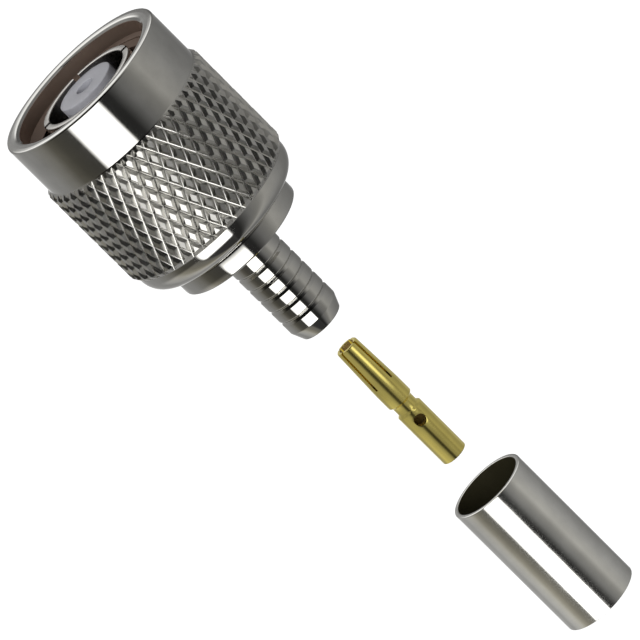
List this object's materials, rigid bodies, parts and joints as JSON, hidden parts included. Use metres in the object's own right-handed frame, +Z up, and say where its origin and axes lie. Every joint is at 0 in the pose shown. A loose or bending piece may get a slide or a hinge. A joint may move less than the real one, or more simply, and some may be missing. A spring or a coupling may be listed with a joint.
{
  "type": "tnc connector",
  "caption": "Reverse-polarity threaded coaxial crimp plug with a diamond-knurled coupling nut, grooved crimp stem, slotted centre contact and crimp ferrule, drawn apart on one axis.",
  "frame": {"origin": "centre of the coupling nut's mouth, on the connector's axis", "axes": "+X along the connector's axis from the mating end to the cable end, +Z up"},
  "size_m": [0.0549, 0.0144, 0.0144],
  "materials": {
    "bright_nickel": "turned brass with bright nickel plate",
    "satin_nickel": "brass with a softer nickel plate",
    "spring_metal": "round spring wire",
    "gold": "turned brass with gold plate",
    "white_plastic": "turned fluoropolymer, waxy",
    "silicone": "moulded silicone rubber"
  },
  "bodies": {
    "body": {"connector_body": "bright_nickel", "outer_contact": "satin_nickel", "insulator": "white_plastic", "gasket": "silicone", "snap_ring": "spring_metal"},
    "coupling_nut": {"coupling_nut": "bright_nickel"},
    "centre_contact": {"centre_contact": "gold"},
    "crimp_ferrule": {"crimp_ferrule": "satin_nickel"}
  },
  "joints": [
    {"name": "nut_spin", "type": "hinge", "parent": "body", "child": "coupling_nut", "pos_m": [0, 0, 0], "axis": [1, 0, 0], "continuous": true},
    {"name": "contact_slide", "type": "slide", "parent": "body", "child": "centre_contact", "axis": [-1, 0, 0], "range_m": [0, 0.02665]},
    {"name": "ferrule_slide", "type": "slide", "parent": "body", "child": "crimp_ferrule", "axis": [-1, 0, 0], "range_m": [0, 0.02595]}
  ]
}
